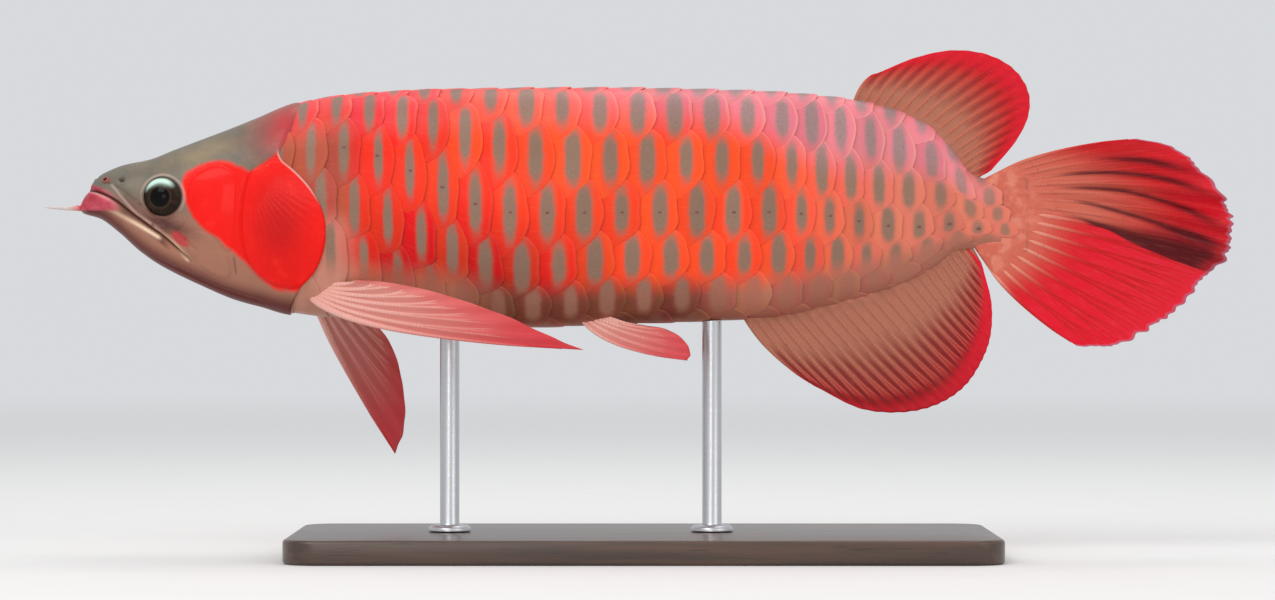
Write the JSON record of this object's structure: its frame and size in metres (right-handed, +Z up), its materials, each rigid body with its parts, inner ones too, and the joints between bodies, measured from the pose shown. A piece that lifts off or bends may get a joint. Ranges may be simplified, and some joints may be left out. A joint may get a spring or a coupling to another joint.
{
  "type": "asian arowana",
  "caption": "Life-size still model of a red asian arowana swimming level, with big raised scales, ridged fins and chin barbels, held on two rods over a flat wooden base.",
  "frame": {"origin": "middle of the underside of the stand's base, on the surface that it stands on", "axes": "+Z up; the fish's head points to -X and its tail to +X, its left side faces -Y"},
  "size_m": [0.4939, 0.13, 0.2096],
  "materials": {
    "head_skin": "wet-looking skin, grey-olive above and pinkish below",
    "gill_cover": "glossy vivid red",
    "scales": "satin-gloss scales, grey-brown centres with vivid red rims",
    "fins": "satin red membranes with salmon rays",
    "eyes": "polished, dark pupil in a brown iris",
    "stand_wood": "dark stained, satin lacquer",
    "stand_rods": "brushed"
  },
  "bodies": {
    "root": {"head": "head_skin", "lower_jaw": "head_skin", "barbel_left": "head_skin", "barbel_right": "head_skin", "gill_cover_left": "gill_cover", "gill_cover_right": "gill_cover", "torso_front": "scales", "torso_rear": "scales", "tail": "scales", "dorsal_fin": "fins", "anal_fin": "fins", "caudal_fin": "fins", "pectoral_fin_left": "fins", "pectoral_fin_right": "fins", "pelvic_fin_left": "fins", "pelvic_fin_right": "fins", "eye_left": "eyes", "eye_right": "eyes", "stand_base": "stand_wood", "stand_rod_front": "stand_rods", "stand_rod_rear": "stand_rods"}
  },
  "joints": []
}
